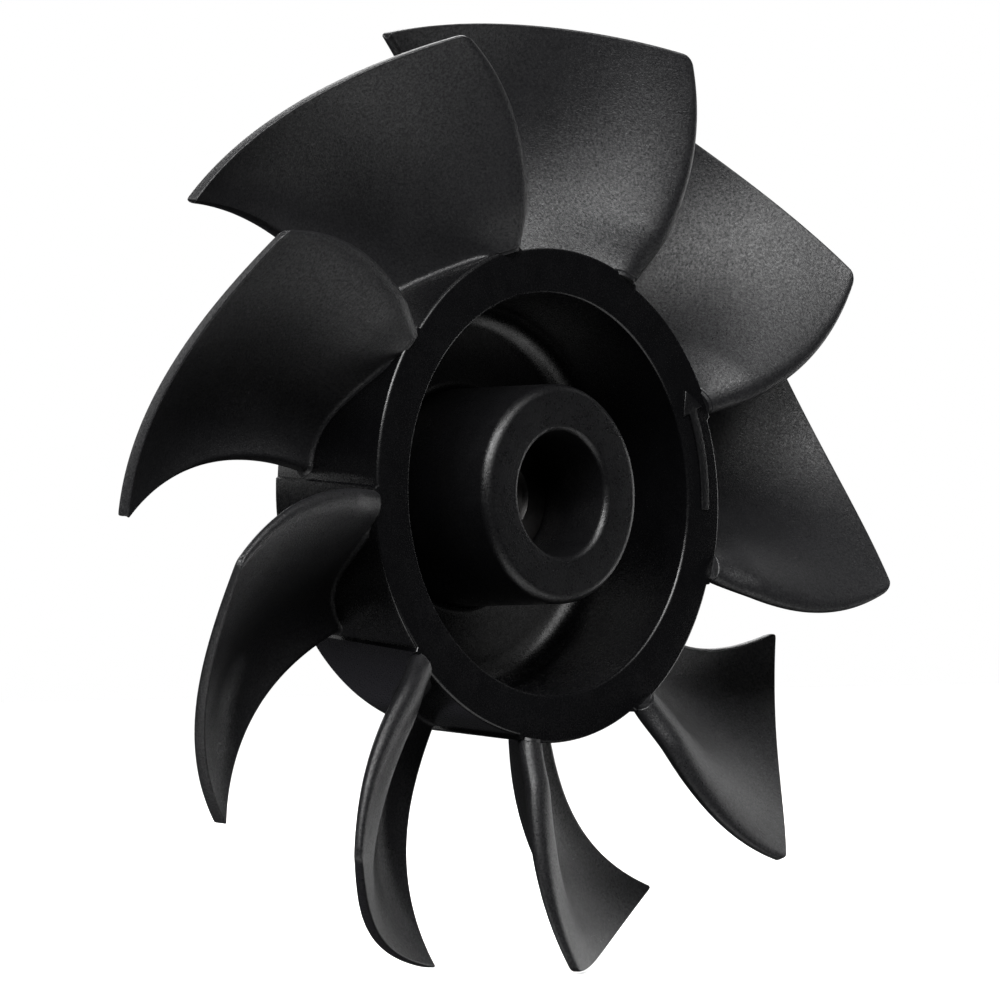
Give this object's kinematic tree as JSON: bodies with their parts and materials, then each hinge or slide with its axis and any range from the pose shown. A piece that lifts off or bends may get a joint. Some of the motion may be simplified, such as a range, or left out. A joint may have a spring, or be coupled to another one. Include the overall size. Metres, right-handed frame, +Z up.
{
  "type": "blower motor wheel",
  "caption": "Axial blower wheel with broad twisted blades on a cup-shaped hub; presses onto a motor shaft and pushes air along it.",
  "frame": {"origin": "on the wheel's axis, in the shaft bore, at the middle of the hub's length", "axes": "+Y along the shaft axis, towards the motor, so the open cup faces -Y; +Z up"},
  "size_m": [0.09, 0.0183, 0.09],
  "materials": {
    "blade_plastic": "spark-eroded grain, satin black",
    "hub_plastic": "smooth satin black",
    "bush_steel": "dark oiled sintered steel"
  },
  "bodies": {
    "root": {"blade_1": "blade_plastic", "blade_2": "blade_plastic", "blade_3": "blade_plastic", "blade_4": "blade_plastic", "blade_5": "blade_plastic", "blade_6": "blade_plastic", "blade_7": "blade_plastic", "blade_8": "blade_plastic", "blade_9": "blade_plastic", "hub_drum": "hub_plastic", "front_rim": "hub_plastic", "cup_wall": "hub_plastic", "cup_floor": "hub_plastic", "centre_boss": "hub_plastic", "shaft_bush": "bush_steel", "rotation_arrow": "hub_plastic", "rib_1": "hub_plastic", "rib_2": "hub_plastic", "rib_3": "hub_plastic", "rib_4": "hub_plastic", "rib_5": "hub_plastic", "rib_6": "hub_plastic", "rib_7": "hub_plastic", "rib_8": "hub_plastic", "rib_9": "hub_plastic"}
  },
  "joints": []
}
